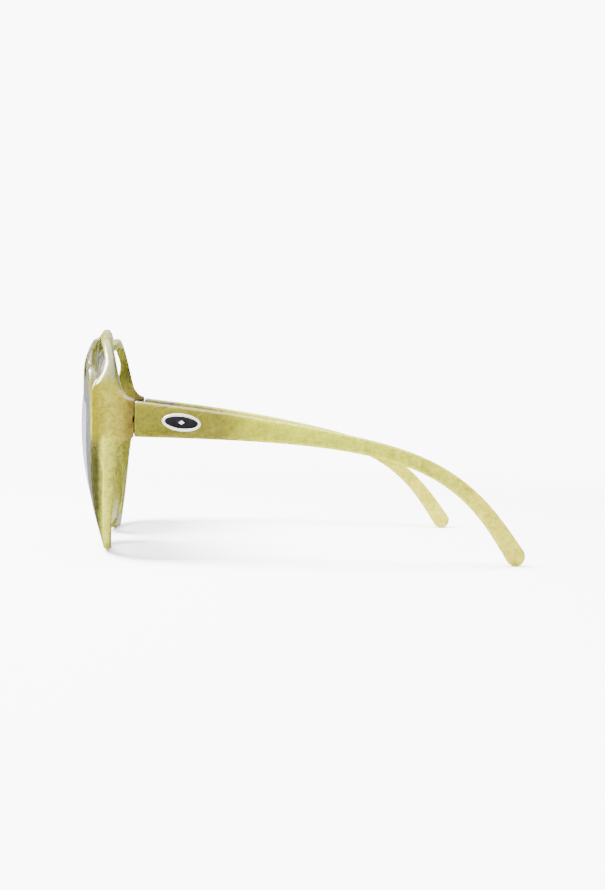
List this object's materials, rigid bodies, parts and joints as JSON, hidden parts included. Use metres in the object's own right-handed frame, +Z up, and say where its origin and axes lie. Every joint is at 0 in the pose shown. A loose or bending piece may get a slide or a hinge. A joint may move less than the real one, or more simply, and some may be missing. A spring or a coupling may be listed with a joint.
{
  "type": "cat eye sunglasses",
  "caption": "Oversized cat eye sunglasses: moulded marbled olive resin front with teardrop cut-outs beside the rims, gradient lenses, and curved temples that fold on knuckle hinges.",
  "frame": {"origin": "centre of the bounding box on the surface that the glasses stand on, open, on both rims and both temple tips", "axes": "+X the wearer's left, +Y back towards the ears, +Z up"},
  "size_m": [0.139, 0.1336, 0.0664],
  "materials": {
    "resin": "glossy translucent marbled resin",
    "lens_tint": "clear gradient tint, grey blue at the top",
    "hinge_metal": "satin nickel silver",
    "screw_metal": "polished",
    "emblem_metal": "polished",
    "emblem_enamel": "glossy enamel"
  },
  "bodies": {
    "front": {"frame_front": "resin", "lens_left": "lens_tint", "lens_right": "lens_tint", "hinge_front_leaf_left": "hinge_metal", "hinge_front_leaf_right": "hinge_metal", "front_leaf_screws_left": "screw_metal", "front_leaf_screws_right": "screw_metal", "hinge_screw_left": "screw_metal", "hinge_screw_right": "screw_metal"},
    "temple_left_body": {"temple_left": "resin", "hinge_temple_leaf_left": "hinge_metal", "temple_leaf_screws_left": "screw_metal", "emblem_plate_left": "emblem_metal", "emblem_enamel_left": "emblem_enamel", "emblem_ornament_left": "emblem_metal"},
    "temple_right_body": {"temple_right": "resin", "hinge_temple_leaf_right": "hinge_metal", "temple_leaf_screws_right": "screw_metal", "emblem_plate_right": "emblem_metal", "emblem_enamel_right": "emblem_enamel", "emblem_ornament_right": "emblem_metal"}
  },
  "joints": [
    {"name": "left_temple_fold", "type": "hinge", "parent": "front", "child": "temple_left_body", "pos_m": [0.0639, -0.0484, 0.0402], "axis": [0, 0, 1], "range_deg": [0, 88]},
    {"name": "right_temple_fold", "type": "hinge", "parent": "front", "child": "temple_right_body", "pos_m": [-0.0639, -0.0484, 0.0402], "axis": [0, 0, -1], "range_deg": [0, 82]}
  ]
}
